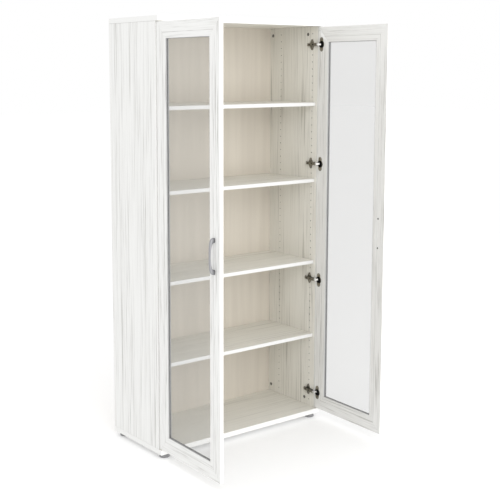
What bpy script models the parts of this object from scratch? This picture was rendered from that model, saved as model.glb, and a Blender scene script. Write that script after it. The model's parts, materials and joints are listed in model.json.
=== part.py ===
"""Two-door glazed bookcase in bleached pine board, standing with both doors open.

Units are metres, +Z up. Everything is laid out with the doors closed: X runs from the left side's outer
face, Y from the front edge of the top board towards the back, Z up from the underside of the bottom board.
What turns hangs on empties that stand on the hinge axes, and those empties are then turned to the open
angles. The right-hand pieces are mirrored from the left-hand ones. Last, the assembly is moved so that the
middle of the floor rectangle under it is the origin.
"""

import math

import bmesh
import bpy
from mathutils import Matrix, Vector

# Fits
TOUCH = 0.0003  # between faces that touch
GROOVE_PLAY = 0.0004  # each side of a panel in its groove

# Carcass
CARCASS_WIDTH = 0.900
CARCASS_DEPTH = 0.380
CARCASS_HEIGHT = 1.835
CAP_THICKNESS = 0.022  # top and bottom boards
SIDE_THICKNESS = 0.016
BOARD_ROUNDING = 0.0008
FOOT_HEIGHT = 0.020
FOOT_RADIUS = 0.0225
FOOT_TOP_RADIUS = 0.0200
FOOT_INSET_X = 0.036
FOOT_INSET_Y = 0.030

# Back panel, in a groove all round
BACK_THICKNESS = 0.003
BACK_INSET = 0.021  # from the rear edges to the panel's rear face
GROOVE_DEPTH = 0.008
GROOVE_FLOOR_PLAY = 0.0005

# Shelves, counted from the bottom
SHELF_THICKNESS = 0.016
SHELF_SETBACK = 0.0145  # behind the sides' front edges
SHELF_END_PLAY = 0.0005
SHELF_BACK_PLAY = 0.001
HOLE_PITCH = 0.032  # of the rows of holes that the shelves hang in
SECOND_BAY_PITCHES = 11  # from the lowest shelf to the next, and from the highest to the one below
MIDDLE_BAY_PITCHES = 12

# Cam fasteners that pull the top and bottom boards onto the sides
CAM_RADIUS = 0.0075
CAM_DEPTH = 0.0123
CAM_BORE_PLAY = 0.0003
CAM_FROM_END = 0.034
CAM_FROM_FRONT = 0.0685
CAM_FROM_REAR = 0.0425
CAM_SLOT = (0.0030, 0.0090, 0.0014)  # depth, length, width of the screwdriver slot

# Doors
DOOR_THICKNESS = 0.016
DOOR_SET_IN = 0.001  # behind the front edge of the top board
DOOR_OFF_SIDE = 0.0025  # closed door to the side's front edge
DOOR_OUTER_REVEAL = 0.003
DOOR_MEETING_GAP = 0.004
DOOR_END_GAP = 0.003
LEFT_OPEN_ANGLE = math.radians(92.0)
RIGHT_OPEN_ANGLE = math.radians(88.0)
MEMBER_WIDTH = 0.068
MEMBER_ROUNDING = 0.0010
MITRE_GAP = 0.0003

# Glass in its rubber seal, in the middle of the frame's thickness
GLASS_THICKNESS = 0.004
GLASS_BITE = 0.0065  # how far the glass reaches behind the frame's inner edge
SEAL_LIP = 0.0018  # how far the seal stands in from the frame's inner edge
SEAL_WIDTH = 0.0130
SEAL_TONGUE_THICKNESS = 0.0066
SEAL_TONGUE_DEPTH = 0.0085
SEAL_GLASS_PLAY = 0.0003
FRAME_GROOVE_DEPTH = 0.0090

# Bow handles
HANDLE_HOLE_SPACING = 0.128
HANDLE_HOLE_RADIUS = 0.0025
HANDLE_FROM_FREE_EDGE = 0.037
HANDLE_HALF_LENGTH = 0.071
HANDLE_RISE = 0.024
HANDLE_WIDTH = 0.011
HANDLE_GRIP_HALF_LENGTH = 0.052
HANDLE_GRIP_RISE = 0.0185
HANDLE_ROUNDING = 0.0018
HANDLE_ARC_STEPS = 12

# Concealed hinges
HINGES_PER_DOOR = 4
HINGE_FROM_DOOR_END = 0.078
HINGE_SHELF_CLEARANCE = 0.006  # between a hinge and the nearest shelf
POLE_FROM_DOOR_EDGE = 0.0065
POLE_BEHIND_INNER_FACE = 0.0095  # the turning axis lies this far inside the door
CUP_FROM_DOOR_EDGE = 0.0225
CUP_RADIUS = 0.0172
CUP_BORE_PLAY = 0.0003
CUP_DEPTH = 0.0118
CUP_WALL = 0.0011
FLANGE_THICKNESS = 0.0011
FLANGE_HALF_WIDTH = 0.011
FLANGE_HALF_HEIGHT = 0.032
PLATE_FROM_FRONT = 0.037
PLATE_THICKNESS = 0.0029
PLATE_HALF_HEIGHT = 0.025
PLATE_WING_RADIUS = 0.0085
PLATE_BODY_RADIUS = 0.0155
ARM_LIFT = 0.0030  # arm above the side's inner face
ARM_HEIGHT = 0.0100
ARM_HALF_WIDTH = 0.0065
ARM_REAR = 0.064  # behind the side's front edge
PIN_OFF_SIDE = 0.015
PIN_AHEAD = 0.0095  # ahead of the side's front edge
PIN_RADIUS = 0.0015
NOSE_RADIUS = 0.0032
LINK_HALF_WIDTH = 0.0040
LINK_SLOT_PLAY = 0.0003
LINK_LENGTH = 0.0185
LINK_THICKNESS = 0.0016
LINK_EYE_RADIUS = 0.0026
LINK_BORE_RADIUS = 0.0018
LINK_CLOSED_ANGLE = math.radians(176.0)
LINK_TURN_RATIO = -0.37  # link turn for each turn of its door

# Worked out from the sizes above
LEFT, RIGHT = "left", "right"
SIDE_FRONT = DOOR_SET_IN + DOOR_THICKNESS + DOOR_OFF_SIDE
SIDE_INNER = SIDE_THICKNESS
BACK_REAR = CARCASS_DEPTH - BACK_INSET
BACK_FRONT = BACK_REAR - BACK_THICKNESS
UPPER = CARCASS_HEIGHT - CAP_THICKNESS
DOOR_WIDTH = (CARCASS_WIDTH - 2 * DOOR_OUTER_REVEAL - DOOR_MEETING_GAP) / 2
DOOR_BOTTOM = CAP_THICKNESS + DOOR_END_GAP
DOOR_TOP = UPPER - DOOR_END_GAP
DOOR_INNER = DOOR_SET_IN + DOOR_THICKNESS
POLE = Vector((DOOR_OUTER_REVEAL + POLE_FROM_DOOR_EDGE, DOOR_INNER - POLE_BEHIND_INNER_FACE, 0))
PIN = Vector((SIDE_INNER + PIN_OFF_SIDE, SIDE_FRONT - PIN_AHEAD, 0))


def clear_scene():
    for obj in list(bpy.data.objects):
        bpy.data.objects.remove(obj)


def new_collection(name):
    collection = bpy.data.collections.new(name)
    bpy.context.scene.collection.children.link(collection)
    return collection


def new_material(name, colour, roughness, metallic=0.0, alpha=1.0):
    """A plain Principled finish in the piece's own colour."""
    material = bpy.data.materials.new(name)
    material.use_nodes = True
    shader = material.node_tree.nodes["Principled BSDF"]
    shader.inputs["Base Color"].default_value = (*colour, 1.0)
    shader.inputs["Roughness"].default_value = roughness
    shader.inputs["Metallic"].default_value = metallic
    shader.inputs["Alpha"].default_value = alpha
    return material


def new_empty(name, at, parent=None):
    empty = bpy.data.objects.new(name, None)
    pieces.objects.link(empty)
    empty.parent = parent
    empty.location = at
    return empty


def add_object(name, mesh, at, parent, collection, material=None):
    """An object whose layout position is `at`, under an empty that stands at its own layout position."""
    obj = bpy.data.objects.new(name, mesh)
    collection.objects.link(obj)
    obj.parent = parent
    obj.location = Vector(at) - parent.location
    if material:
        mesh.materials.clear()
        mesh.materials.append(material)
    return obj


def box_mesh(name, size, rounding=0.0, along=None):
    """A box about its own middle, rounded on all edges or only on those that run along one axis."""
    bm = bmesh.new()
    bmesh.ops.create_cube(bm, size=1.0)
    bmesh.ops.scale(bm, vec=size, verts=bm.verts)
    if rounding:
        edges = list(bm.edges)
        if along is not None:
            edges = [e for e in edges if abs((e.verts[0].co - e.verts[1].co)[along]) > rounding]
        bmesh.ops.bevel(bm, geom=edges, offset=rounding, segments=2, profile=0.5, affect="EDGES")
    mesh = bpy.data.meshes.new(name)
    bm.to_mesh(mesh)
    bm.free()
    return mesh


def board(name, low, high, material, parent, rounding=BOARD_ROUNDING, along=None):
    low, high = Vector(low), Vector(high)
    mesh = box_mesh(name, high - low, rounding, along)
    return add_object(name, mesh, (low + high) / 2, parent, pieces, material)


def cylinder_mesh(name, radius, length, axis, segments=32, top_radius=None):
    """A cylinder or cone about its own middle, with its axis along X, Y or Z."""
    bm = bmesh.new()
    far = radius if top_radius is None else top_radius
    bmesh.ops.create_cone(
        bm, cap_ends=True, segments=segments, radius1=radius, radius2=far, depth=length
    )
    turn = {"X": Matrix.Rotation(math.pi / 2, 4, "Y"), "Y": Matrix.Rotation(-math.pi / 2, 4, "X")}
    bmesh.ops.transform(bm, matrix=turn.get(axis, Matrix.Identity(4)), verts=bm.verts)
    mesh = bpy.data.meshes.new(name)
    bm.to_mesh(mesh)
    bm.free()
    return mesh


def outline_mesh(name, points, thickness):
    """A closed flat outline in local XY, given a thickness along local Z about its middle."""
    curve = bpy.data.curves.new(name, "CURVE")
    curve.dimensions = "2D"
    curve.fill_mode = "BOTH"
    curve.extrude = thickness / 2
    spline = curve.splines.new("POLY")
    spline.points.add(len(points) - 1)
    for point, (x, y) in zip(spline.points, points):
        point.co = (x, y, 0.0, 1.0)
    spline.use_cyclic_u = True
    holder = bpy.data.objects.new(name, curve)
    pieces.objects.link(holder)
    bpy.context.view_layer.update()
    graph = bpy.context.evaluated_depsgraph_get()
    mesh = bpy.data.meshes.new_from_object(holder.evaluated_get(graph))
    bpy.data.objects.remove(holder)
    bm = bmesh.new()
    bm.from_mesh(mesh)
    bmesh.ops.remove_doubles(bm, verts=bm.verts, dist=1e-6)
    bmesh.ops.recalc_face_normals(bm, faces=bm.faces)
    bm.to_mesh(mesh)
    bm.free()
    return mesh


def arc(centre, radius, start, end, steps):
    """Points on a round stretch from one angle to another, both ends included."""
    angles = [start + (end - start) * i / steps for i in range(steps + 1)]
    return [(centre[0] + radius * math.cos(a), centre[1] + radius * math.sin(a)) for a in angles]


def helper(name, mesh, at, parent):
    """A hidden solid that cuts or joins another."""
    obj = add_object(name, mesh, at, parent, cutters)
    obj.hide_render = True
    obj.display_type = "WIRE"
    return obj


def combine(obj, other, operation="DIFFERENCE"):
    modifier = obj.modifiers.new(f"{operation.lower()} {other.name}", "BOOLEAN")
    modifier.operation = operation
    modifier.object = other


def box_cutter(name, low, high, parent):
    low, high = Vector(low), Vector(high)
    return helper(name, box_mesh(name, high - low), (low + high) / 2, parent)


def evaluated_mesh(obj):
    bpy.context.view_layer.update()
    graph = bpy.context.evaluated_depsgraph_get()
    return bpy.data.meshes.new_from_object(obj.evaluated_get(graph))


def mirror_piece(obj, name, parent, plane_x):
    """The right-hand copy of a left-hand piece, mirrored in a plane across X of its parent's space."""
    mesh = evaluated_mesh(obj)
    mesh.transform(Matrix.Scale(-1, 4, (1, 0, 0)))
    mesh.flip_normals()
    copy = bpy.data.objects.new(name, mesh)
    pieces.objects.link(copy)
    copy.parent = parent
    copy.location = (2 * plane_x - obj.location.x, obj.location.y, obj.location.z)
    return copy


def mirror_set(objs, parent, plane_x):
    for obj in objs:
        mirror_piece(obj, obj.name.replace(LEFT, RIGHT, 1), parent, plane_x)


def shelf_tops():
    """Heights of the shelves' upper faces. They stand a whole number of hole pitches apart, and the bottom
    and top bays are alike."""
    steps = [HOLE_PITCH * n for n in (SECOND_BAY_PITCHES, MIDDLE_BAY_PITCHES, SECOND_BAY_PITCHES)]
    first = (CARCASS_HEIGHT - sum(steps) + SHELF_THICKNESS) / 2
    return [first + sum(steps[:i]) for i in range(len(steps) + 1)]


def clear_of_shelves(height):
    """The nearest height at which a hinge's plate and cup flange both clear every shelf."""
    reach = max(PLATE_HALF_HEIGHT, FLANGE_HALF_HEIGHT) + HINGE_SHELF_CLEARANCE
    for top in shelf_tops():
        low, high = top - SHELF_THICKNESS - reach, top + reach
        if low < height < high:
            return low if height - low < high - height else high
    return height


def hinge_heights():
    """Evenly spaced up the door, except that a hinge moves up or down to clear a shelf."""
    low = DOOR_BOTTOM + HINGE_FROM_DOOR_END
    high = DOOR_TOP - HINGE_FROM_DOOR_END
    step = (high - low) / (HINGES_PER_DOOR - 1)
    return [clear_of_shelves(low + step * i) for i in range(HINGES_PER_DOOR)]


def cam_places():
    """(Y, Z) of the cams' middles on one side panel."""
    fronts = (SIDE_FRONT + CAM_FROM_FRONT, CARCASS_DEPTH - CAM_FROM_REAR)
    heights = (CAP_THICKNESS + CAM_FROM_END, UPPER - CAM_FROM_END)
    return [(y, z) for z in heights for y in fronts]


def make_caps():
    """The top and bottom boards run the full width, and are grooved for the back panel."""
    full = (CARCASS_WIDTH, CARCASS_DEPTH)
    bottom = board("bottom_board", (0, 0, 0), (*full, CAP_THICKNESS), pine, root)
    top = board("top_board", (0, 0, UPPER), (*full, CARCASS_HEIGHT), pine, root)
    start = SIDE_INNER - GROOVE_DEPTH
    for cap, low, high in (
        (bottom, CAP_THICKNESS - GROOVE_DEPTH, CAP_THICKNESS + GROOVE_DEPTH),
        (top, UPPER - GROOVE_DEPTH, UPPER + GROOVE_DEPTH),
    ):
        groove = box_cutter(
            f"{cap.name} groove",
            (start, BACK_FRONT - GROOVE_PLAY, low),
            (CARCASS_WIDTH - start, BACK_REAR + GROOVE_PLAY, high),
            root,
        )
        combine(cap, groove)


def make_sides():
    """The sides stand between the caps, with a groove for the back panel and blind bores for the cams."""
    side = board(
        "left_side_panel",
        (0, SIDE_FRONT, CAP_THICKNESS + TOUCH),
        (SIDE_THICKNESS, CARCASS_DEPTH, UPPER - TOUCH),
        pine,
        root,
    )
    groove = box_cutter(
        "side groove",
        (SIDE_INNER - GROOVE_DEPTH, BACK_FRONT - GROOVE_PLAY, 0),
        (SIDE_INNER + GROOVE_DEPTH, BACK_REAR + GROOVE_PLAY, CARCASS_HEIGHT),
        root,
    )
    combine(side, groove)
    reach = CAM_DEPTH + CAM_BORE_PLAY
    for number, (y, z) in enumerate(cam_places(), 1):
        bore = cylinder_mesh("cam bore", CAM_RADIUS + CAM_BORE_PLAY, 2 * reach, "X", 24)
        combine(side, helper(f"cam bore {number}", bore, (SIDE_INNER, y, z), root))
    mirror_piece(side, "right_side_panel", root, CARCASS_WIDTH / 2)


def make_cams():
    """Turning cams, let in flush, each with a slot for a screwdriver."""
    body = cylinder_mesh("cam", CAM_RADIUS, CAM_DEPTH, "X", 24)
    cams = []
    for number, (y, z) in enumerate(cam_places(), 1):
        at = Vector((SIDE_INNER - CAM_DEPTH / 2, y, z))
        cam = add_object(f"left_cam_{number}", body.copy(), at, root, pieces, zinc)
        slot = helper(f"cam slot {number}", box_mesh("slot", CAM_SLOT), at, root)
        slot.location.x += CAM_DEPTH / 2
        combine(cam, slot)
        cams.append(cam)
    mirror_set(cams, root, CARCASS_WIDTH / 2)


def make_back():
    reach = GROOVE_DEPTH - GROOVE_FLOOR_PLAY
    board(
        "back_panel",
        (SIDE_INNER - reach, BACK_FRONT, CAP_THICKNESS - reach),
        (CARCASS_WIDTH - SIDE_INNER + reach, BACK_REAR, UPPER + reach),
        hardboard,
        root,
        rounding=0.0,
    )


def make_shelves():
    for number, top in enumerate(shelf_tops(), 1):
        inner = SIDE_INNER + SHELF_END_PLAY
        board(
            f"shelf_{number}",
            (inner, SIDE_FRONT + SHELF_SETBACK, top - SHELF_THICKNESS),
            (CARCASS_WIDTH - inner, BACK_FRONT - SHELF_BACK_PLAY, top),
            pine,
            root,
        )


def make_feet():
    height = FOOT_HEIGHT - TOUCH
    body = cylinder_mesh("foot", FOOT_RADIUS, height, "Z", 28, FOOT_TOP_RADIUS)
    spots = {
        "front_left_foot": (FOOT_INSET_X, FOOT_INSET_Y),
        "front_right_foot": (CARCASS_WIDTH - FOOT_INSET_X, FOOT_INSET_Y),
        "rear_left_foot": (FOOT_INSET_X, CARCASS_DEPTH - FOOT_INSET_Y),
        "rear_right_foot": (CARCASS_WIDTH - FOOT_INSET_X, CARCASS_DEPTH - FOOT_INSET_Y),
    }
    for name, (x, y) in spots.items():
        add_object(name, body, (x, y, -FOOT_HEIGHT + height / 2), root, pieces, grey_plastic)


def mitre(mesh, corner, normal):
    """Takes off what lies past a 45 degree plane through a corner of the frame, and closes the cut."""
    bm = bmesh.new()
    bm.from_mesh(mesh)
    normal = Vector(normal).normalized()
    geometry = list(bm.verts) + list(bm.edges) + list(bm.faces)
    plane_point = Vector(corner) - normal * MITRE_GAP / 2
    bmesh.ops.bisect_plane(bm, geom=geometry, plane_co=plane_point, plane_no=normal, clear_outer=True)
    bmesh.ops.holes_fill(bm, edges=[e for e in bm.edges if e.is_boundary], sides=0)
    bmesh.ops.recalc_face_normals(bm, faces=bm.faces)
    bm.to_mesh(mesh)
    bm.free()


def frame_member(name, low, high, along, mitres):
    """One length of the door frame, its long edges rounded and its ends mitred."""
    member = board(name, low, high, pine, left_door, MEMBER_ROUNDING, along)
    middle = (Vector(low) + Vector(high)) / 2
    for corner, normal in mitres:
        mitre(member.data, Vector(corner) - middle, normal)
    return member


def make_left_frame():
    """Two stiles and two rails, grooved for the seal; the hinge stile is bored for the hinge cups."""
    left = DOOR_OUTER_REVEAL
    right = left + DOOR_WIDTH
    front, back = DOOR_SET_IN, DOOR_INNER
    corners = {
        "bottom left": ((left, 0, DOOR_BOTTOM), (1, 0, -1)),
        "top left": ((left, 0, DOOR_TOP), (1, 0, 1)),
        "bottom right": ((right, 0, DOOR_BOTTOM), (-1, 0, -1)),
        "top right": ((right, 0, DOOR_TOP), (-1, 0, 1)),
    }

    def cut_off(where, sign):
        """A mitre plane: +1 keeps the stile's side of it, -1 the rail's."""
        corner, normal = corners[where]
        return corner, tuple(sign * part for part in normal)

    hinge_stile = frame_member(
        "left_door_hinge_stile",
        (left, front, DOOR_BOTTOM),
        (left + MEMBER_WIDTH, back, DOOR_TOP),
        2,
        [cut_off("bottom left", 1), cut_off("top left", 1)],
    )
    free_stile = frame_member(
        "left_door_free_stile",
        (right - MEMBER_WIDTH, front, DOOR_BOTTOM),
        (right, back, DOOR_TOP),
        2,
        [cut_off("bottom right", 1), cut_off("top right", 1)],
    )
    bottom_rail = frame_member(
        "left_door_bottom_rail",
        (left, front, DOOR_BOTTOM),
        (right, back, DOOR_BOTTOM + MEMBER_WIDTH),
        0,
        [cut_off("bottom left", -1), cut_off("bottom right", -1)],
    )
    top_rail = frame_member(
        "left_door_top_rail",
        (left, front, DOOR_TOP - MEMBER_WIDTH),
        (right, back, DOOR_TOP),
        0,
        [cut_off("top left", -1), cut_off("top right", -1)],
    )
    tongue = opening_box(FRAME_GROOVE_DEPTH, SEAL_TONGUE_THICKNESS / 2 + TOUCH)
    groove = box_cutter("left frame groove", *tongue, left_door)
    for member in (hinge_stile, free_stile, bottom_rail, top_rail):
        combine(member, groove)

    bore_depth = CUP_DEPTH + CUP_BORE_PLAY
    for number, z in enumerate(hinge_heights(), 1):
        bore = cylinder_mesh("cup bore", CUP_RADIUS + CUP_BORE_PLAY, 2 * bore_depth, "Y")
        at = (left + CUP_FROM_DOOR_EDGE, back, z)
        combine(hinge_stile, helper(f"cup bore {number}", bore, at, left_door))
    for number, z in enumerate(handle_hole_heights(), 1):
        hole = cylinder_mesh("handle hole", HANDLE_HOLE_RADIUS, 2 * DOOR_THICKNESS, "Y", 12)
        at = (right - HANDLE_FROM_FREE_EDGE, (front + back) / 2, z)
        combine(free_stile, helper(f"handle hole {number}", hole, at, left_door))
    return [hinge_stile, free_stile, bottom_rail, top_rail]


def opening_box(grow, half_thickness):
    """A box on the door's glass opening, grown by `grow` all round, in the middle of its thickness."""
    left = DOOR_OUTER_REVEAL + MEMBER_WIDTH - grow
    right = DOOR_OUTER_REVEAL + DOOR_WIDTH - MEMBER_WIDTH + grow
    middle = DOOR_SET_IN + DOOR_THICKNESS / 2
    low = (left, middle - half_thickness, DOOR_BOTTOM + MEMBER_WIDTH - grow)
    high = (right, middle + half_thickness, DOOR_TOP - MEMBER_WIDTH + grow)
    return low, high


def make_left_glass():
    """A clear pane, held by a rubber seal whose tongue sits in the frame's groove."""
    pane = board(
        "left_door_glass", *opening_box(GLASS_BITE, GLASS_THICKNESS / 2), glass, left_door, 0.0
    )
    lining = opening_box(-TOUCH, SEAL_WIDTH / 2)
    seal = board("left_door_seal", *lining, rubber, left_door, 0.0)
    tongue = box_cutter(
        "seal tongue", *opening_box(SEAL_TONGUE_DEPTH, SEAL_TONGUE_THICKNESS / 2), left_door
    )
    combine(seal, tongue, "UNION")
    window = box_cutter("seal window", *opening_box(-SEAL_LIP, SEAL_WIDTH), left_door)
    combine(seal, window)
    pocket = opening_box(GLASS_BITE + SEAL_GLASS_PLAY, GLASS_THICKNESS / 2 + SEAL_GLASS_PLAY)
    combine(seal, box_cutter("seal pocket", *pocket, left_door))
    return [pane, seal]


def handle_hole_heights():
    middle = (DOOR_BOTTOM + DOOR_TOP) / 2
    return [middle - HANDLE_HOLE_SPACING / 2, middle + HANDLE_HOLE_SPACING / 2]


def bow(half_length, rise, flatness, steps):
    """A flattened half oval over a base line: its ends rise steeply and its middle is nearly straight."""
    points = []
    for i in range(steps + 1):
        angle = math.pi * i / steps
        along = math.copysign(abs(math.cos(angle)) ** (2 / flatness), math.cos(angle))
        points.append((half_length * along, rise * math.sin(angle) ** (2 / flatness)))
    return points


def make_left_handle():
    """A bow handle on the door's outer face, as a flat outline across the bow with rounded edges."""
    outer = bow(HANDLE_HALF_LENGTH, HANDLE_RISE, 3.6, 2 * HANDLE_ARC_STEPS)
    inner = bow(HANDLE_GRIP_HALF_LENGTH, HANDLE_GRIP_RISE, 2.6, HANDLE_ARC_STEPS)
    mesh = outline_mesh("left_handle", outer + inner[::-1], HANDLE_WIDTH)
    # Local X runs up the door, local Y out from its face.
    mesh.transform(Matrix(((0, 0, 1, 0), (0, -1, 0, 0), (1, 0, 0, 0), (0, 0, 0, 1))))
    at = (
        DOOR_OUTER_REVEAL + DOOR_WIDTH - HANDLE_FROM_FREE_EDGE,
        DOOR_SET_IN - TOUCH,
        (DOOR_BOTTOM + DOOR_TOP) / 2,
    )
    handle = add_object("left_handle", mesh, at, left_door, pieces, satin_metal)
    rounding = handle.modifiers.new("rounded edges", "BEVEL")
    rounding.width = HANDLE_ROUNDING
    rounding.segments = 2
    rounding.limit_method = "ANGLE"
    rounding.angle_limit = math.radians(50)
    return handle


def slot_outline(half_width, half_height, steps=8):
    """An upright slot shape: straight sides and half-round ends."""
    reach = half_height - half_width
    top = arc((0, reach), half_width, 0, math.pi, steps)
    bottom = arc((0, -reach), half_width, math.pi, 2 * math.pi, steps)
    return top + bottom


def make_left_cups():
    """Steel cups let into the hinge stile, each with a screw flange on the door's inner face."""
    flange_low, flange_high = DOOR_INNER + TOUCH, DOOR_INNER + TOUCH + FLANGE_THICKNESS
    floor = DOOR_INNER - CUP_DEPTH
    x = DOOR_OUTER_REVEAL + CUP_FROM_DOOR_EDGE
    body = cylinder_mesh("cup", CUP_RADIUS, flange_high - floor, "Y")
    flange = outline_mesh("cup flange", slot_outline(FLANGE_HALF_WIDTH, FLANGE_HALF_HEIGHT), FLANGE_THICKNESS)
    flange.transform(Matrix.Rotation(math.pi / 2, 4, "X"))
    hollow = cylinder_mesh("cup hollow", CUP_RADIUS - CUP_WALL, flange_high - floor, "Y")
    cups = []
    for number, z in enumerate(hinge_heights(), 1):
        middle = (floor + flange_high) / 2
        cup = add_object(f"left_hinge_cup_{number}", body.copy(), (x, middle, z), left_door, pieces, nickel)
        flange_at = (x, (flange_low + flange_high) / 2, z)
        combine(cup, helper(f"cup flange {number}", flange.copy(), flange_at, left_door), "UNION")
        combine(cup, helper(f"cup hollow {number}", hollow, (x, middle + CUP_WALL, z), left_door))
        cups.append(cup)
    return cups


def arm_outline():
    """The arm seen from above: a channel along the side, a neck past its front edge and a round nose."""
    low, high = SIDE_INNER + ARM_LIFT, SIDE_INNER + ARM_LIFT + ARM_HEIGHT
    rear = SIDE_FRONT + ARM_REAR
    nose = arc(PIN.xy, NOSE_RADIUS, math.radians(190), math.radians(375), 8)
    return [
        (high - 0.004, rear),
        (low, rear),
        (low, SIDE_FRONT + 0.0045),
        (low + 0.0025, SIDE_FRONT + 0.0015),
        (low + 0.0080, SIDE_FRONT - 0.0050),
        *nose,
        (high + 0.0025, SIDE_FRONT + 0.0010),
        (high + 0.0005, SIDE_FRONT + 0.0075),
        (high, rear - 0.012),
    ]


def plate_outline():
    """The mounting plate's outline: a wing above and below for the screws, wider where the arm lies."""
    wing = PLATE_HALF_HEIGHT - PLATE_WING_RADIUS
    return [
        *arc((0, wing), PLATE_WING_RADIUS, math.radians(20), math.radians(160), 6),
        *arc((0, 0), PLATE_BODY_RADIUS, math.radians(150), math.radians(210), 5),
        *arc((0, -wing), PLATE_WING_RADIUS, math.radians(200), math.radians(340), 6),
        *arc((0, 0), PLATE_BODY_RADIUS, math.radians(-30), math.radians(30), 5),
    ]


def make_left_arms():
    """Hinge arms on their mounting plates, screwed to the side; the pin for the link crosses the nose."""
    channel = outline_mesh("arm channel", arm_outline(), 2 * ARM_HALF_WIDTH)
    plate = outline_mesh("arm plate", plate_outline(), PLATE_THICKNESS)
    # Local X runs back along the side, local Y up it.
    plate.transform(Matrix(((0, 0, 1, 0), (1, 0, 0, 0), (0, 1, 0, 0), (0, 0, 0, 1))))
    pin = cylinder_mesh("arm pin", PIN_RADIUS, 2 * ARM_HALF_WIDTH - 2 * TOUCH, "Z", 16)
    slot_half = LINK_HALF_WIDTH + LINK_SLOT_PLAY
    slot_depth = LINK_EYE_RADIUS + 3 * LINK_SLOT_PLAY
    arms = []
    for number, z in enumerate(hinge_heights(), 1):
        at = Vector((0, 0, z))
        arm = add_object(f"left_hinge_arm_{number}", channel.copy(), at, root, pieces, nickel)
        slot = box_cutter(
            f"link slot {number}",
            (SIDE_INNER, PIN.y - 3 * NOSE_RADIUS, z - slot_half),
            (PIN.x + 3 * NOSE_RADIUS, PIN.y + slot_depth, z + slot_half),
            root,
        )
        combine(arm, slot)
        combine(arm, helper(f"arm pin {number}", pin, PIN + at, root), "UNION")
        plate_at = (SIDE_INNER + TOUCH + PLATE_THICKNESS / 2, SIDE_FRONT + PLATE_FROM_FRONT, z)
        combine(arm, helper(f"arm plate {number}", plate.copy(), plate_at, root), "UNION")
        arms.append(arm)
    return arms


def link_outline():
    """A bar from an eye, lying along local X with the eye's middle at the origin."""
    half = LINK_THICKNESS / 2
    lead = math.asin(half / LINK_EYE_RADIUS)
    eye = arc((0, 0), LINK_EYE_RADIUS, lead, 2 * math.pi - lead, 16)
    tip = arc((LINK_LENGTH - half, 0), half, -math.pi / 2, math.pi / 2, 4)
    return eye + tip


def make_left_links():
    """Hinge links between the arms' pins and the cups. They share one upright axis, so they turn as one."""
    bar = outline_mesh("link bar", link_outline(), 2 * LINK_HALF_WIDTH)
    bar.transform(Matrix.Rotation(LINK_CLOSED_ANGLE, 4, "Z"))
    bore = cylinder_mesh("link bore", LINK_BORE_RADIUS, 3 * LINK_HALF_WIDTH, "Z", 16)
    links = []
    for number, z in enumerate(hinge_heights(), 1):
        at = PIN + Vector((0, 0, z))
        link = add_object(f"left_hinge_link_{number}", bar.copy(), at, left_links, pieces, nickel)
        combine(link, helper(f"link bore {number}", bore, at, left_links))
        links.append(link)
    return links


def mirrored(at):
    return Vector((CARCASS_WIDTH - at.x, at.y, at.z))


def centre_on_floor():
    """Moves the assembly so that the middle of its box's underside is the origin."""
    bpy.context.view_layer.update()
    graph = bpy.context.evaluated_depsgraph_get()
    points = []
    for obj in pieces.objects:
        if obj.type == "MESH":
            evaluated = obj.evaluated_get(graph)
            points += [evaluated.matrix_world @ vertex.co for vertex in evaluated.data.vertices]
    low = Vector([min(point[axis] for point in points) for axis in range(3)])
    high = Vector([max(point[axis] for point in points) for axis in range(3)])
    root.location = (-(low.x + high.x) / 2, -(low.y + high.y) / 2, -low.z)


clear_scene()
pieces = new_collection("bookcase")
cutters = new_collection("bookcase cutters")

pine = new_material("bleached pine board", (0.84, 0.83, 0.80), 0.5)
hardboard = new_material("back hardboard", (0.72, 0.67, 0.60), 0.6)
grey_plastic = new_material("grey foot plastic", (0.25, 0.25, 0.26), 0.5)
zinc = new_material("zinc cam", (0.35, 0.34, 0.33), 0.45, 0.9)
glass = new_material("clear glass", (0.90, 0.93, 0.93), 0.05, 0.0, 0.3)
rubber = new_material("dark seal rubber", (0.08, 0.08, 0.08), 0.7)
satin_metal = new_material("satin handle metal", (0.42, 0.42, 0.44), 0.35, 0.9)
nickel = new_material("nickelled steel", (0.55, 0.54, 0.50), 0.3, 1.0)

root = new_empty("bookcase_root", (0, 0, 0))
left_door = new_empty("left_door_axis", POLE, root)
right_door = new_empty("right_door_axis", mirrored(POLE), root)
left_links = new_empty("left_link_axis", PIN, root)
right_links = new_empty("right_link_axis", mirrored(PIN), root)

make_caps()
make_sides()
make_cams()
make_back()
make_shelves()
make_feet()
left_arms = make_left_arms()
left_door_pieces = [*make_left_frame(), *make_left_glass(), make_left_handle(), *make_left_cups()]
left_link_pieces = make_left_links()
mirror_set(left_arms, root, CARCASS_WIDTH / 2)
mirror_set(left_door_pieces, right_door, 0.0)
mirror_set(left_link_pieces, right_links, 0.0)

left_door.rotation_euler.z = -LEFT_OPEN_ANGLE
right_door.rotation_euler.z = RIGHT_OPEN_ANGLE
left_links.rotation_euler.z = -LEFT_OPEN_ANGLE * LINK_TURN_RATIO
right_links.rotation_euler.z = RIGHT_OPEN_ANGLE * LINK_TURN_RATIO
centre_on_floor()
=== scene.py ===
"""The looks of a two-door glazed bookcase in bleached pine board, standing with both doors open.

Metres, +Z up, X to the right and Y from the doors to the back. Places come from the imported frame. The pieces
of a door are worked out with the door closed and then turned with it to where it stands.
"""

import json
import math

import bmesh
import bpy
import numpy as np
from mathutils import Matrix, Vector


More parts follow.
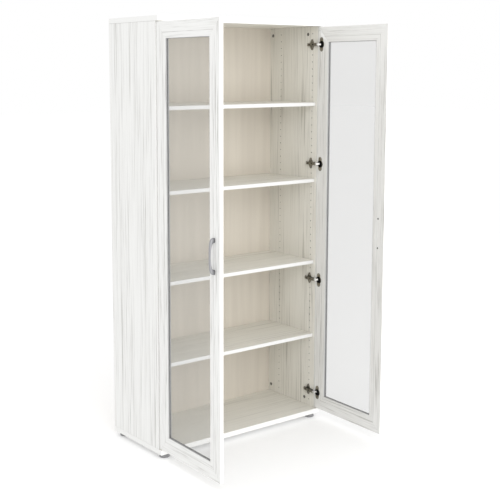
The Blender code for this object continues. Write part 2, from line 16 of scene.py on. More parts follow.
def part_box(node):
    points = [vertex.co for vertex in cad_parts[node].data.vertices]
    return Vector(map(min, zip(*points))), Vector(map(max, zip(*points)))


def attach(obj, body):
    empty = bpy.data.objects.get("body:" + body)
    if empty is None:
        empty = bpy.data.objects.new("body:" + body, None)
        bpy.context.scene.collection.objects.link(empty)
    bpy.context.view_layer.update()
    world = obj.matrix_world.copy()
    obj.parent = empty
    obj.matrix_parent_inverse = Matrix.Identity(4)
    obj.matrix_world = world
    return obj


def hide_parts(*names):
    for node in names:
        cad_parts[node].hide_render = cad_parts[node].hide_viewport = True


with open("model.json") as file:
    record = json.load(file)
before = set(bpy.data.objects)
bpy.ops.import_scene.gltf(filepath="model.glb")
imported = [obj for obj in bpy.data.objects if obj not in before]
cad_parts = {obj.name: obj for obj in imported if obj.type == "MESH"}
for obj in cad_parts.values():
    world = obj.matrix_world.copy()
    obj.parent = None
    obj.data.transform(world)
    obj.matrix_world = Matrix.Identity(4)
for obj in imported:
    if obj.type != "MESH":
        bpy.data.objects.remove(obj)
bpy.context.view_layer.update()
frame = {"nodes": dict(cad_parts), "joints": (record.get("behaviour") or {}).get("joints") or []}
nodes = frame["nodes"]


# Bleached pine board: particle board with a printed white pine film pressed on, so the grain is a fine grey
# streak in an almost white ground. It runs along each board. The front edges are closed with plain white
# banding, which shows as the brightest line of each board.
GROUND_WHITE = (0.80, 0.80, 0.785)
STREAK_GREY = (0.36, 0.35, 0.325)
BANDING_WHITE = (0.93, 0.93, 0.91)
PAINTED_BOUNCE_WARMTH = (1.0, 0.98, 0.925)  # painted bounce light: inward faces are tinted as if lit off the back panel
CORE_BROWN = (0.055, 0.042, 0.030)
STREAKS, THREADS, CLUSTERS, STEP_MARKS = 125, 430, 12, 40  # across the grain, per metre


class NodeTree:
    """Makes nodes and links in one material's tree."""

    def __init__(self, name):
        self.material = bpy.data.materials.new(name)
        self.material.use_nodes = True
        self.tree = self.material.node_tree
        self.shader = self.tree.nodes["Principled BSDF"]

    def add(self, kind, inputs=(), **settings):
        node = self.tree.nodes.new("ShaderNode" + kind)
        for key, value in settings.items():
            setattr(node, key, value)
        for socket, value in dict(inputs).items():
            if isinstance(value, bpy.types.NodeSocket):
                self.tree.links.new(value, node.inputs[socket])
            else:
                node.inputs[socket].default_value = value
        return node

    def math(self, operation, *values):
        return self.add("Math", dict(enumerate(values)), operation=operation).outputs[0]

    def ramp(self, factor, stops):
        """A ramp from (place, grey or colour) stops."""
        node = self.add("ValToRGB", {"Fac": factor})
        elements = node.color_ramp.elements
        while len(elements) < len(stops):
            elements.new(0.5)
        for element, (place, colour) in zip(elements, stops):
            element.position = place
            element.color = (*colour, 1) if isinstance(colour, tuple) else (colour, colour, colour, 1)
        return node.outputs[0]

    def mix(self, factor, first, second, blend="MIX"):
        node = self.add("Mix", data_type="RGBA", blend_type=blend)
        for socket, value in ((0, factor), (6, first), (7, second)):
            if isinstance(value, bpy.types.NodeSocket):
                self.tree.links.new(value, node.inputs[socket])
            else:
                node.inputs[socket].default_value = (*value, 1) if isinstance(value, tuple) else value
        return node.outputs[2]

    def link(self, output, socket):
        self.tree.links.new(output, self.shader.inputs[socket])

    def bump(self, height, distance, strength=0.5):
        node = self.add("Bump", {"Height": height, "Distance": distance, "Strength": strength})
        self.link(node.outputs[0], "Normal")


def pine(name, along, seed, stand=((0, 0, 0), 0), bands=(), ends=None, inside=None, core=None, line=None,
         length=2.3, strength=0.85):
    """Printed pine with the grain along one axis: streaks and fine threads, gathered in clusters.

    The pattern lies in the coordinates of the closed object, so `stand` is the (shift, turn about Z) that
    brings an open door's points back. The rest are stretches of a board as (axis, middle, half). Outside each
    of `bands` the bright banding shows, and outside `ends` the plain white film. Within `inside` the face is
    warmer with painted bounce light off the back panel, within all of `core` bare particle board shows, and
    `line` is a shallow step along a member, darkened with painted shade.
    """
    n = NodeTree(name)
    place = n.add("TexCoord").outputs["Object"]
    still = n.add("Mapping", {"Vector": place, "Location": stand[0], "Rotation": (0, 0, stand[1])}).outputs[0]
    axes = n.add("SeparateXYZ", {0: still}).outputs

    def streak(across, length, detail):
        scale = [across, across, across]
        scale["XYZ".index(along)] = length
        moved = {"Vector": still, "Location": (seed, seed, seed), "Scale": scale}
        stretched = n.add("Mapping", moved).outputs[0]
        noise = {"Vector": stretched, "Scale": 1.0, "Detail": detail, "Roughness": 0.58, "Distortion": 0.2}
        return n.add("TexNoise", noise).outputs[0]

    def within(axis, middle, half):
        return n.math("COMPARE", axes[axis], middle, half)

    fibre = streak(THREADS, 6, 2.0)
    streaks = n.ramp(streak(STREAKS, length, 4.0), [(0.49, 0.0), (0.57, 0.22), (0.64, 0.62), (0.74, 1.0)])
    threads = n.ramp(fibre, [(0.50, 0.0), (0.72, 0.34)])
    clusters = n.ramp(streak(CLUSTERS, 1.1, 1.0), [(0.36, 0.25), (0.62, 0.95)])
    shown = n.math("MULTIPLY", n.math("MULTIPLY", clusters, n.math("MAXIMUM", streaks, threads)), strength)
    colour = n.mix(shown, GROUND_WHITE, STREAK_GREY)
    # Painted shade: the shallow step line is darkened towards the streak grey, unevenly along its length.
    if line is not None:
        marks = n.ramp(streak(STEP_MARKS, 9, 1.0), [(0.35, 0.25), (0.6, 1.0)])
        step = n.math("MULTIPLY", within(*line), marks)
        colour = n.mix(n.math("MULTIPLY", step, 0.62), colour, STREAK_GREY)
    if inside is not None:
        # Painted bounce light: faces within `inside` are tinted warmer.
        colour = n.mix(within(*inside), colour, n.mix(1.0, colour, PAINTED_BOUNCE_WARMTH, blend="MULTIPLY"))
    if ends is not None:
        colour = n.mix(within(*ends), GROUND_WHITE, colour)
    for band in bands:
        colour = n.mix(within(*band), BANDING_WHITE, colour)
    if core is not None:
        bare = n.math("MULTIPLY", within(*core[0]), within(*core[1]))
        colour = n.mix(bare, colour, CORE_BROWN)
    n.link(colour, "Base Color")
    n.link(n.ramp(fibre, [(0.3, 0.44), (0.7, 0.54)]), "Roughness")
    n.bump(fibre, 0.0003, 0.15)
    return n.material


def dress(names, material):
    """Gives CAD nodes a finish in their material slots."""
    for name in names:
        for slot in nodes[name].material_slots:
            slot.material = material


def between(axis, low, high, margin=0.0):
    """(axis, middle, half) of the stretch from low to high, less a margin at each end."""
    return axis, (low + high) / 2, (high - low) / 2 - margin


BANDING_DEPTH = 0.0008
AXIS_X, AXIS_Y, AXIS_Z = 0, 1, 2
FAR = 2.0  # past the end of any board
INNER_MARGIN = 0.0005  # takes in the caps' inner faces themselves
bottom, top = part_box("bottom_board"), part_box("top_board")
cap_ends = between(AXIS_X, top[0].x, top[1].x, BANDING_DEPTH)
cap_front = between(AXIS_Y, top[0].y + BANDING_DEPTH, FAR)
inner_faces = between(AXIS_Z, bottom[1].z - INNER_MARGIN, top[0].z + INNER_MARGIN)
for board, depth_of_print in (("bottom_board", 0.45), ("top_board", 0.62)):
    dress([board], pine(f"pine_{board}", "X", 3.1, ends=cap_ends, bands=[cap_front], inside=inner_faces,
                        strength=depth_of_print))
for number, shelf in enumerate(("shelf_1", "shelf_2", "shelf_3", "shelf_4")):
    front = between(AXIS_Y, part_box(shelf)[0].y + BANDING_DEPTH, FAR)
    dress([shelf], pine(f"pine_{shelf}", "X", 17.3 * (number + 1), ends=front, inside=(AXIS_Z, 0, FAR)))


# Side panels: 16 mm boards between the caps. Each has two upright rows of blind 5 mm holes at a 32 mm pitch
# in its inner face, in line with the middle of the shelves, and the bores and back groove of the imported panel.
HOLE_RADIUS = 0.0025
HOLE_DEPTH = 0.0115
HOLE_PITCH = 0.032
FRONT_ROW = 0.037  # behind the panel's front edge
REAR_ROW = 0.258
ROW_END = 0.030  # clear of the caps
HOLE_SIDES = 12
LEFT, RIGHT = "left", "right"
FILM = 0.0003
CORE_BELOW = 0.0006  # the core starts this far under the faces
CORE_BEHIND = 0.005  # and this far in from the edges
SIDE_SEEDS = {LEFT: 53.0, RIGHT: 89.0}
SHARP = math.radians(35)


def stack(parts):
    """(vertices, faces) of several parts as one mesh's, the face numbers moved on for each part."""
    starts = np.cumsum([0] + [len(vertices) for vertices, _ in parts])
    vertices = np.vstack([vertices for vertices, _ in parts])
    faces = [[int(i) + start for i in face] for start, (_, part) in zip(starts, parts) for face in part]
    return vertices, faces


def grid_faces(rows, columns, closed=False):
    """Quads of a rows x columns grid of vertices, whose columns may close on themselves."""
    row, column = np.meshgrid(np.arange(rows - 1), np.arange(columns - (not closed)), indexing="ij")
    following = (column + 1) % columns
    corners = [row * columns + column, row * columns + following,
               (row + 1) * columns + following, (row + 1) * columns + column]
    return np.stack(corners, -1).reshape(-1, 4).tolist()


def lathe(profile, sides):
    """Turned solid about Z: each (radius, height) of the profile gives a ring; the end rings are capped."""
    radius, height = np.array(profile, float).T
    angle = np.arange(sides) * 2 * np.pi / sides
    ring = np.stack([np.cos(angle), np.sin(angle)], -1)
    flat = radius[:, None, None] * ring
    vertices = np.concatenate([flat, np.broadcast_to(height[:, None, None], (*flat.shape[:2], 1))], -1)
    faces = grid_faces(len(radius), sides, closed=True)
    last = (len(radius) - 1) * sides
    faces += [list(range(sides))[::-1], [last + i for i in range(sides)]]
    return vertices.reshape(-1, 3), faces


def new_piece(name, vertices, faces, material, body):
    """A smooth closed shell with crisp edges, riding on a body."""
    mesh = bpy.data.meshes.new(name)
    mesh.from_pydata(np.asarray(vertices).tolist(), [], faces)
    tidy = bmesh.new()
    tidy.from_mesh(mesh)
    bmesh.ops.recalc_face_normals(tidy, faces=tidy.faces)
    tidy.to_mesh(mesh)
    tidy.free()
    mesh.shade_smooth()
    mesh.set_sharp_from_angle(angle=SHARP)
    mesh.materials.append(material)
    piece = bpy.data.objects.new(name, mesh)
    bpy.context.scene.collection.objects.link(piece)
    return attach(piece, body)


def cut_copy(node, name, cutters):
    """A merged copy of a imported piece, less the solids of `cutters`."""
    cutter_vertices, cutter_faces = stack(cutters)
    cutter = bpy.data.meshes.new("cutter")
    cutter.from_pydata(cutter_vertices.tolist(), [], cutter_faces)
    work = bmesh.new()
    work.from_mesh(cutter)
    bmesh.ops.recalc_face_normals(work, faces=work.faces)
    work.to_mesh(cutter)
    work.clear()
    work.from_mesh(node.data)
    bmesh.ops.remove_doubles(work, verts=work.verts, dist=1e-6)
    mesh = bpy.data.meshes.new(name)
    work.to_mesh(mesh)
    work.free()
    mesh.materials.clear()
    cutting = bpy.data.objects.new("cutter", cutter)
    piece = bpy.data.objects.new(name, mesh)
    for obj in (cutting, piece):
        bpy.context.scene.collection.objects.link(obj)
    cut = piece.modifiers.new("cuts", "BOOLEAN")
    cut.object = cutting
    cut.solver = "EXACT"
    bpy.context.view_layer.update()
    done = bpy.data.meshes.new_from_object(piece.evaluated_get(bpy.context.evaluated_depsgraph_get()))
    piece.modifiers.clear()
    piece.data = done
    done.materials.clear()
    bpy.data.objects.remove(cutting)
    return piece


def side_panel(side):
    """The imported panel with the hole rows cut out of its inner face."""
    node = nodes[f"{side}_side_panel"]
    low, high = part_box(node.name)
    inner, outer = (high.x, low.x) if side == LEFT else (low.x, high.x)
    middle = sum(end.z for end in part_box("shelf_1")) / 2
    first = low.z + ROW_END + (middle - low.z - ROW_END) % HOLE_PITCH
    heights = np.arange(first, high.z - ROW_END, HOLE_PITCH)
    vertices, faces = lathe([(HOLE_RADIUS, -HOLE_DEPTH), (HOLE_RADIUS, HOLE_DEPTH)], HOLE_SIDES)
    lying = vertices[:, [2, 0, 1]]
    holes = [(lying + (inner, low.y + row, z), faces) for row in (FRONT_ROW, REAR_ROW) for z in heights]
    board = cut_copy(node, f"{side}_side_board", holes)
    away = 1 if side == LEFT else -1
    inside = between(AXIS_X, *sorted((inner - away * FILM, outer + away * FAR)))
    core = [between(AXIS_X, low.x, high.x, CORE_BELOW), between(AXIS_Y, low.y, high.y, CORE_BEHIND)]
    front = between(AXIS_Y, low.y + BANDING_DEPTH, FAR)
    board.data.materials.append(pine(f"pine_{side}_side", "Z", SIDE_SEEDS[side], inside=inside, core=core,
                                     ends=front, strength=1.08))
    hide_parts(node.name)
    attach(board, "carcass")


side_panel(LEFT)
side_panel(RIGHT)


# Back panel: thin hardboard with a warm beige coated face that shows a faint upright grain. It is slid into
# grooves in the sides and caps, a little in from the rear edges.
def coated_board():
    n = NodeTree("back_board")
    place = n.add("TexCoord").outputs["Object"]
    stretched = n.add("Mapping", {"Vector": place, "Scale": (26, 26, 1.2)}).outputs[0]
    streak = n.add("TexNoise", {"Vector": stretched, "Scale": 1.0, "Detail": 4.0}).outputs[0]
    speck = n.add("TexNoise", {"Vector": place, "Scale": 900.0, "Detail": 2.0}).outputs[0]
    n.link(n.ramp(streak, [(0.35, (0.71, 0.66, 0.58)), (0.65, (0.66, 0.61, 0.535))]), "Base Color")
    n.link(n.ramp(speck, [(0.3, 0.50), (0.7, 0.62)]), "Roughness")
    n.bump(speck, 0.00005, 0.2)
    return n.material


dress(["back_panel"], coated_board())


# Cams and feet: the cams are die-cast zinc, set flush in the sides' inner faces, and draw the caps tight. The
# feet are moulded grey plastic glides with a rounded lower rim, nailed under the bottom board.
def cast_zinc():
    n = NodeTree("cast_zinc")
    place = n.add("TexCoord").outputs["Object"]
    cast = n.add("TexNoise", {"Vector": place, "Scale": 1400.0, "Detail": 3.0}).outputs[0]
    n.link(n.ramp(cast, [(0.3, (0.13, 0.125, 0.12)), (0.7, (0.22, 0.215, 0.20))]), "Base Color")
    n.shader.inputs["Metallic"].default_value = 0.85
    n.link(n.ramp(cast, [(0.3, 0.42), (0.7, 0.60)]), "Roughness")
    n.bump(cast, 0.00004, 0.4)
    return n.material


def moulded_grey():
    n = NodeTree("moulded_grey")
    place = n.add("TexCoord").outputs["Object"]
    mould = n.add("TexNoise", {"Vector": place, "Scale": 1600.0, "Detail": 2.0}).outputs[0]
    n.link(n.ramp(mould, [(0.3, (0.235, 0.235, 0.24)), (0.7, (0.275, 0.275, 0.28))]), "Base Color")
    n.link(n.ramp(mould, [(0.3, 0.42), (0.7, 0.55)]), "Roughness")
    n.bump(mould, 0.00005, 0.3)
    return n.material


dress([f"{side}_cam_{number}" for side in (LEFT, RIGHT) for number in (1, 2, 3, 4)], cast_zinc())
grey = moulded_grey()
FOOT_SIDES = 48
FOOT_EDGE = 0.0025  # radius of the lower rim
FOOT_WALL = 0.008  # the wall leans in up to here
FOOT_WALL_SHARE = 0.97
FOOT_NECK = 0.0015  # height of the neck under the board
FOOT_NECK_SHARE = 0.89
for foot in ("front_left_foot", "front_right_foot", "rear_left_foot", "rear_right_foot"):
    low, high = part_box(foot)
    middle = (low + high) / 2
    radius = (high.x - low.x) / 2
    turn = np.linspace(0, np.pi / 2, 6)
    rim = [(radius - FOOT_EDGE * (1 - math.sin(a)), low.z + FOOT_EDGE * (1 - math.cos(a))) for a in turn]
    neck = radius * FOOT_NECK_SHARE
    wall = (radius * FOOT_WALL_SHARE, low.z + FOOT_WALL)
    profile = [*rim, wall, (neck, high.z - FOOT_NECK), (neck, high.z)]
    vertices, faces = lathe(profile, FOOT_SIDES)
    placed = vertices + (middle.x, middle.y, 0)
    piece = new_piece(f"{foot}_glide", placed, faces, grey, "carcass")
    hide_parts(foot)


# Doors: each stands turned about its hinge axis by the angle that its joint can close. Frame members are
# wrapped in the same pine film, with the grain along each member, and mitred at the corners.
joints = {joint["name"]: joint for joint in frame["joints"]}


def swing(side):
    """(hinge axis place, turn about Z from closed to how the door stands)."""
    joint = joints[f"{side}_door_swing"]
    return Vector(joint["pos_m"]), math.radians(-joint["range_deg"][0]) * joint["axis"][2]


def stood(points, side):
    """Points of a closed door, turned with it to where it stands."""
    at, turn = swing(side)
    rotation = np.array(Matrix.Rotation(turn, 3, "Z"))
    return (np.asarray(points, float) - np.array(at)) @ rotation.T + np.array(at)


def closed_box(name, side):
    """A door node's box with the door closed."""
    at, turn = swing(side)
    points = np.array([vertex.co for vertex in nodes[name].data.vertices])
    back = (points - np.array(at)) @ np.array(Matrix.Rotation(turn, 3, "Z")) + np.array(at)
    return Vector(back.min(0)), Vector(back.max(0))


def closed_again(side):
    """The (shift, turn about Z) that brings a standing door's points back to the closed door's."""
    at, turn = swing(side)
    return tuple(at - Matrix.Rotation(-turn, 3, "Z") @ at), -turn


BEAD = 0.044  # a shallow step line along both faces of every member, from the member's outer edge
BEAD_HALF = 0.0011
BEAD_DEPTH = 0.0009
BEAD_PROUD = 0.0002
BEAD_RUNOUT = 0.01
SEED_STEP = 7.9
RIGHT_SEED = 41.7


def groove(along, centre, face, into, start, end):
    """A V-shaped prism along Z or X: its mouth stands a little proud of the face, its point lies `into` it."""
    proud = -math.copysign(BEAD_PROUD, into)
    mouth = face + proud
    profile = np.array([(centre - BEAD_HALF, mouth), (centre + BEAD_HALF, mouth), (centre, face + into)])
    ends = np.repeat([start, end], 3)[:, None]
    across_y = np.vstack([profile, profile])
    upright = along == "Z"
    points = np.hstack([across_y, ends] if upright else [ends, across_y[:, 1:], across_y[:, :1]])
    return points, [[0, 1, 2], [5, 4, 3], [0, 3, 4, 1], [1, 4, 5, 2], [2, 5, 3, 0]]


for side in (LEFT, RIGHT):
    low = closed_box(f"{side}_door_bottom_rail", side)[0]
    high = closed_box(f"{side}_door_top_rail", side)[1]
    bands = [between(AXIS_X, low.x, high.x, BANDING_DEPTH), between(AXIS_Z, low.z, high.z, BANDING_DEPTH)]
    hinge_x, free_x = (low.x + BEAD, high.x - BEAD) if side == LEFT else (high.x - BEAD, low.x + BEAD)
    members = (("hinge_stile", "Z", hinge_x), ("free_stile", "Z", free_x),
               ("bottom_rail", "X", low.z + BEAD), ("top_rail", "X", high.z - BEAD))
    for number, (member, along, centre) in enumerate(members):
        start, end = (low.z, high.z) if along == "Z" else (low.x, high.x)
        start, end = start - BEAD_RUNOUT, end + BEAD_RUNOUT
        cutters = [groove(along, centre, low.y, BEAD_DEPTH, start, end),
                   groove(along, centre, high.y, -BEAD_DEPTH, start, end)]
        cutters = [(stood(points, side), faces) for points, faces in cutters]
        piece = cut_copy(nodes[f"{side}_door_{member}"], f"{side}_moulded_{member}", cutters)
        seed = SEED_STEP * (number + 1) + (0 if side == LEFT else RIGHT_SEED)
        # The step line also gets painted shade in the member's finish.
        line = (AXIS_X if along == "Z" else AXIS_Z, centre, BEAD_HALF)
        piece.data.materials.append(pine(f"pine_{side}_{member}", along, seed, stand=closed_again(side),
                                         bands=bands, line=line, length=4.2, strength=1.15))
        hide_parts(f"{side}_door_{member}")
        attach(piece, f"{side}_door")


# Glass: clear 4 mm float glass held in each door's frame. It lets most light through, is a little milky, and
# mirrors more at a flat angle.
GLASS_GREY = (0.38, 0.385, 0.38)


def float_glass():
    n = NodeTree("float_glass")
    place = n.add("TexCoord").outputs["Object"]
    wave = n.add("TexNoise", {"Vector": place, "Scale": 3.0}).outputs[0]
    n.link(n.ramp(wave, [(0.3, 0.10), (0.7, 0.16)]), "Roughness")
    n.shader.inputs["Base Color"].default_value = (*GLASS_GREY, 1)
    n.shader.inputs["IOR"].default_value = 1.45
    n.shader.inputs["Alpha"].default_value = 0.17
    return n.material


dress(["left_door_glass", "right_door_glass"], float_glass())


# Seal: a grey extruded rubber strip all round each pane, pressed between the glass and the frame. It has a
# dull, slightly uneven surface.
def seal_rubber():
    n = NodeTree("seal_rubber")
    place = n.add("TexCoord").outputs["Object"]
    fine = n.add("TexNoise", {"Vector": place, "Scale": 1100.0, "Detail": 2.0}).outputs[0]
    n.link(n.ramp(fine, [(0.3, (0.34, 0.34, 0.34)), (0.7, (0.41, 0.41, 0.41))]), "Base Color")
    n.link(n.ramp(fine, [(0.3, 0.60), (0.7, 0.78)]), "Roughness")
    n.bump(fine, 0.00004, 0.3)
    return n.material


dress(["left_door_seal", "right_door_seal"], seal_rubber())


# Hinges: pressed and nickel plated steel. Every steel part has painted shade on faces turned up or down, the
# arms and plates a painted highlight on faces turned to the front, and a cup painted shade, nearly black,
# inside. Screws hold each flange and plate, and two more set the arm.
SCREW_RADIUS = 0.0038
SCREW_SIDES = 20
SCREW_DOME = 0.0012
SCREW_SUNK = 0.0002
SCREW_FLAT = 0.0004  # radius of the flat on top
# Facing limits of the painted shade on faces turned up or down and the painted highlight on faces turned to the
# front.
UPTURNED = 0.6
FORWARD = -0.45
CAVITY_MARGIN = 0.0003
ARM_TOP = 0.0130  # above the side's inner face
ARM_SCREWS = (0.022, 0.047)  # behind the panel's front edge
PLATE_TOP = 0.0029
FLANGE_SCREW = 0.0255  # from the cup's middle
PLATE_OLIVE = (0.30, 0.29, 0.25)
CUP_OLIVE = (0.36, 0.345, 0.29)
# Bright nickel of the links, and the painted highlight on the arms' faces turned to the front.
NICKEL_AND_HIGHLIGHT = (0.78, 0.77, 0.74)
SCREW_GREY = (0.36, 0.35, 0.33)
SCREW_BLACK = (0.05, 0.05, 0.05)
# Painted shade inside the cups.
PAINTED_CUP_SHADE = (0.008, 0.008, 0.008)


def pressed_steel(name, base, edge=0.05, nose=None, cavity=None, side=None):
    """Plated steel with painted light: `edge` is a painted shade grey on faces turned up or down, `nose` a
    painted highlight colour on faces turned to the front, and behind the closed door's plane `cavity` paints
    the inside of a cup nearly black as shade."""
    n = NodeTree(name)
    coordinates = n.add("TexCoord").outputs
    place = coordinates["Object"]
    press = n.add("TexNoise", {"Vector": place, "Scale": 700.0, "Detail": 3.0}).outputs[0]
    stain = n.add("TexNoise", {"Vector": place, "Scale": 120.0, "Detail": 2.0}).outputs[0]
    colour = n.mix(1.0, base, n.ramp(press, [(0.3, 0.82), (0.7, 1.0)]), blend="MULTIPLY")
    colour = n.mix(1.0, colour, n.ramp(stain, [(0.35, 0.80), (0.65, 1.0)]), blend="MULTIPLY")
    facing = n.add("SeparateXYZ", {0: coordinates["Normal"]}).outputs
    # Painted shade on faces turned up or down.
    turned = n.math("GREATER_THAN", n.math("ABSOLUTE", facing[2]), UPTURNED)
    colour = n.mix(turned, colour, (edge, edge, edge * 0.95))
    # Painted highlight on faces turned to the front.
    if nose is not None:
        colour = n.mix(n.math("LESS_THAN", facing[1], FORWARD), colour, nose)
    # Painted shade: behind the closed door's plane the cup's inside is nearly black.
    if cavity is not None:
        shift, turn = closed_again(side)
        still = n.add("Mapping", {"Vector": place, "Location": shift, "Rotation": (0, 0, turn)}).outputs[0]
        inside = n.math("LESS_THAN", n.add("SeparateXYZ", {0: still}).outputs[1], cavity)
        colour = n.mix(inside, colour, PAINTED_CUP_SHADE)
        n.link(n.math("SUBTRACT", 1.0, inside), "Metallic")
    else:
        n.shader.inputs["Metallic"].default_value = 1.0
    n.link(colour, "Base Color")
    n.link(n.ramp(press, [(0.3, 0.24), (0.7, 0.38)]), "Roughness")
    n.bump(press, 0.00004, 0.25)
    return n.material


def screw_head():
    """A low domed head as a lathe: its profile is a quarter ellipse with a small flat on top."""
    turn = np.linspace(0, np.pi / 2, 6)
    dome = [(SCREW_RADIUS * math.cos(a), SCREW_DOME * math.sin(a)) for a in turn[:-1]]
    return lathe([(SCREW_RADIUS, -SCREW_SUNK), *dome, (SCREW_FLAT, SCREW_DOME)], SCREW_SIDES)


# Arms and plates: painted shade on faces turned up or down, painted highlight on faces turned to the front.
arm_steel = pressed_steel("arm_steel", PLATE_OLIVE, nose=NICKEL_AND_HIGHLIGHT)
link_steel = pressed_steel("link_steel", NICKEL_AND_HIGHLIGHT, edge=0.3)
screw_steel = pressed_steel("screw_steel", SCREW_GREY, edge=0.2)
dark_screw = pressed_steel("dark_screw", SCREW_BLACK)
head, head_faces = screw_head()
FACING_BACK = ([0, 2, 1], (1, 1, 1))


def screws(name, spots, turned, material, body, side=None):
    """Screw heads at the spots. `turned` holds the order of axes, and their signs, that turns a head's Z to
    the way it faces, and with a `side` the spots are a closed door's."""
    heads = stack([(head[:, turned[0]] * turned[1] + np.array(spot), head_faces) for spot in spots])
    points = heads[0] if side is None else stood(heads[0], side)
    new_piece(name, points, heads[1], material, body)


for side in (LEFT, RIGHT):
    inward = 1 if side == LEFT else -1
    facing_in = ([2, 0, 1], (inward, 1, 1))
    door_face = closed_box(f"{side}_door_hinge_stile", side)[1].y
    # Painted shade, nearly black, inside each cup.
    cup_steel = pressed_steel(f"{side}_cup_steel", CUP_OLIVE, edge=0.2, cavity=door_face - CAVITY_MARGIN,
                              side=side)
    panel_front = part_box(f"{side}_side_panel")[0].y
    for number in (1, 2, 3, 4):
        dress([f"{side}_hinge_arm_{number}"], arm_steel)
        dress([f"{side}_hinge_cup_{number}"], cup_steel)
        dress([f"{side}_hinge_link_{number}"], link_steel)
        low, high = closed_box(f"{side}_hinge_cup_{number}", side)
        middle = (low + high) / 2
        spots = [(middle.x, high.y, middle.z + way * FLANGE_SCREW) for way in (-1, 1)]
        screws(f"{side}_flange_screws_{number}", spots, FACING_BACK, screw_steel, f"{side}_door", side)
        low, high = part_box(f"{side}_hinge_arm_{number}")
        wall = low.x if side == LEFT else high.x
        height = (low.z + high.z) / 2
        spots = [(wall + inward * PLATE_TOP, panel_front + FRONT_ROW, height + way * HOLE_PITCH / 2)
                 for way in (-1, 1)]
        screws(f"{side}_plate_screws_{number}", spots, facing_in, screw_steel, "carcass")
        spots = [(wall + inward * ARM_TOP, panel_front + back, height) for back in ARM_SCREWS]
        screws(f"{side}_arm_screws_{number}", spots, facing_in, dark_screw, "carcass")


# Handles: cast metal bows in satin grey, broader at the feet, where painted shade darkens them near the door.
# Each is held by two dark screws put in from inside the door.
HANDLE_EDGE = 3.4  # 2 gives an oval section, and more a squarer one
HANDLE_STEPS = 56
HANDLE_ROUND = 28
HANDLE_SPACING = 0.128  # between the two screws
OUTER_FLATNESS, INNER_FLATNESS = 3.6, 2.6
INNER_LENGTH, INNER_RISE = 0.732, 0.771  # of the outer curve's
SATIN_GREY = (0.36, 0.36, 0.375)
# Painted shade on the feet near the door face.
PAINTED_FOOT_SHADE = (0.20, 0.20, 0.21)


def satin_cast(side, face, rise):
    """Satin grey with painted shade on the feet near the door face, and fine brush marks along the bow."""
    n = NodeTree(f"satin_cast_{side}")
    place = n.add("TexCoord").outputs["Object"]
    shift, turn = closed_again(side)
    still = n.add("Mapping", {"Vector": place, "Location": shift, "Rotation": (0, 0, turn)}).outputs[0]
    brushed = n.add("Mapping", {"Vector": still, "Scale": (2200, 2200, 60)}).outputs[0]
    fine = n.add("TexNoise", {"Vector": brushed, "Scale": 1.0, "Detail": 3.0}).outputs[0]
    y = n.add("SeparateXYZ", {0: still}).outputs[1]
    out = n.math("DIVIDE", n.math("SUBTRACT", face, y), rise)
    # Painted shade: the feet darken towards the door face.
    grey = n.ramp(out, [(0.12, PAINTED_FOOT_SHADE), (0.62, SATIN_GREY)])
    n.link(n.mix(1.0, grey, n.ramp(fine, [(0.3, 0.90), (0.7, 1.0)]), blend="MULTIPLY"), "Base Color")
    n.shader.inputs["Metallic"].default_value = 0.6
    n.link(n.ramp(fine, [(0.3, 0.36), (0.7, 0.48)]), "Roughness")
    n.bump(fine, 0.00003, 0.2)
    return n.material


def half_oval(angle, half_length, rise, flatness):
    """Superellipse over a base line: along = L cos^(2/n), out = H sin^(2/n), so a larger n is boxier."""
    along = np.sign(np.cos(angle)) * np.abs(np.cos(angle)) ** (2 / flatness)
    return np.stack([half_length * along, rise * np.abs(np.sin(angle)) ** (2 / flatness)], -1)


def bow_surface(half_length, rise, width):
    """Section between an outer and an inner half oval: its middle runs between the two, its thickness is
    their gap, and round each section the offsets are superellipse cosines and sines."""
    angle = np.linspace(0, np.pi, HANDLE_STEPS)
    outer = half_oval(angle, half_length, rise, OUTER_FLATNESS)
    inner = half_oval(angle, half_length * INNER_LENGTH, rise * INNER_RISE, INNER_FLATNESS)
    middle, half = (outer + inner) / 2, (outer - inner) / 2
    around = np.arange(HANDLE_ROUND) * 2 * np.pi / HANDLE_ROUND
    power = 2 / HANDLE_EDGE
    across = np.sign(np.cos(around)) * np.abs(np.cos(around)) ** power
    over = np.sign(np.sin(around)) * np.abs(np.sin(around)) ** power
    flat = middle[:, None] + half[:, None] * across[None, :, None]
    side_to_side = np.broadcast_to(over * width / 2, flat.shape[:2])
    vertices = np.stack([flat[..., 0], flat[..., 1], side_to_side], -1).reshape(-1, 3)
    faces = grid_faces(HANDLE_STEPS, HANDLE_ROUND, closed=True)
    last = (HANDLE_STEPS - 1) * HANDLE_ROUND
    return vertices, faces + [list(range(HANDLE_ROUND))[::-1], [last + i for i in range(HANDLE_ROUND)]]


for side in (LEFT, RIGHT):
    low, high = closed_box(f"{side}_handle", side)
    middle = (low + high) / 2
    vertices, faces = bow_surface((high.z - low.z) / 2, high.y - low.y, high.x - low.x)
    placed = np.stack([middle.x + vertices[:, 2], high.y - vertices[:, 1], middle.z + vertices[:, 0]], -1)
    handle = new_piece(f"{side}_bow_handle", stood(placed, side), faces,
                       satin_cast(side, high.y, high.y - low.y), f"{side}_door")
    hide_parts(f"{side}_handle")
    inner_face = closed_box(f"{side}_door_free_stile", side)[1].y
    spots = [(middle.x, inner_face, middle.z + way * HANDLE_SPACING / 2) for way in (-1, 1)]
    screws(f"{side}_handle_screws", spots, FACING_BACK, dark_screw, f"{side}_door", side)


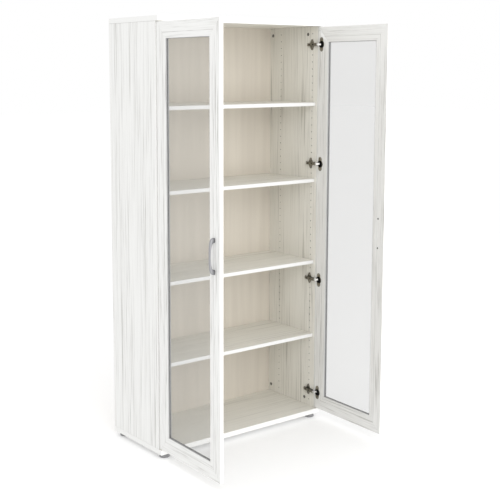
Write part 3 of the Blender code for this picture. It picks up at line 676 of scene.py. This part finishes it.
# Floor, light and camera: a wide pale floor under an even white sky, a broad soft light from the front and
# above with a weaker one low down, and a camera standing to the left at about eye height.
def pale_paper():
    n = NodeTree("pale_paper")
    place = n.add("TexCoord").outputs["Object"]
    fine = n.add("TexNoise", {"Vector": place, "Scale": 90.0, "Detail": 2.0}).outputs[0]
    n.link(n.ramp(fine, [(0.3, 0.79), (0.7, 0.81)]), "Base Color")
    n.shader.inputs["Roughness"].default_value = 1.0
    n.shader.inputs["Specular IOR Level"].default_value = 0.0
    n.shader.inputs["Emission Color"].default_value = (1, 1, 1, 1)
    n.shader.inputs["Emission Strength"].default_value = 0.22
    return n.material


HALF_FLOOR = 30.0
floor = bpy.data.meshes.new("floor")
corners = [(-HALF_FLOOR, -HALF_FLOOR, 0), (HALF_FLOOR, -HALF_FLOOR, 0), (HALF_FLOOR, HALF_FLOOR, 0),
           (-HALF_FLOOR, HALF_FLOOR, 0)]
floor.from_pydata(corners, [], [(0, 1, 2, 3)])
floor.materials.append(pale_paper())
floor = bpy.data.objects.new("floor", floor)
bpy.context.scene.collection.objects.link(floor)

world = bpy.data.worlds.new("studio")
bpy.context.scene.world = world
world.use_nodes = True
world.node_tree.nodes["Background"].inputs["Color"].default_value = (1, 1, 1, 1)
world.node_tree.nodes["Background"].inputs["Strength"].default_value = 1.0
bpy.context.scene.view_settings.view_transform = "Standard"


def soft_light(name, at, towards, size, power):
    light = bpy.data.lights.new(name, "AREA")
    light.size = size
    light.energy = power
    lamp = bpy.data.objects.new(name, light)
    lamp.location = at
    lamp.rotation_euler = (Vector(towards) - Vector(at)).to_track_quat("-Z", "Y").to_euler()
    bpy.context.scene.collection.objects.link(lamp)


soft_light("key", (-2.0, -4.2, 3.4), (0, 0, 0.9), 2.6, 72)
soft_light("fill", (0.4, -4.2, 0.5), (0.1, 0.3, 0.35), 2.0, 34)
carcass_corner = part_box("bottom_board")[0]
lens = bpy.data.cameras.new("camera")
lens.lens = 71.77
lens.shift_x = 0.0477
lens.shift_y = -0.0920
TILT_DOWN, TURN_RIGHT = 7.66, 37.25  # degrees
camera = bpy.data.objects.new("camera", lens)
camera.location = carcass_corner + Vector((-2.2250, -3.3786, 1.6174))
camera.rotation_euler = (math.radians(90 - TILT_DOWN), 0, math.radians(-TURN_RIGHT))
bpy.context.scene.collection.objects.link(camera)
bpy.context.scene.camera = camera
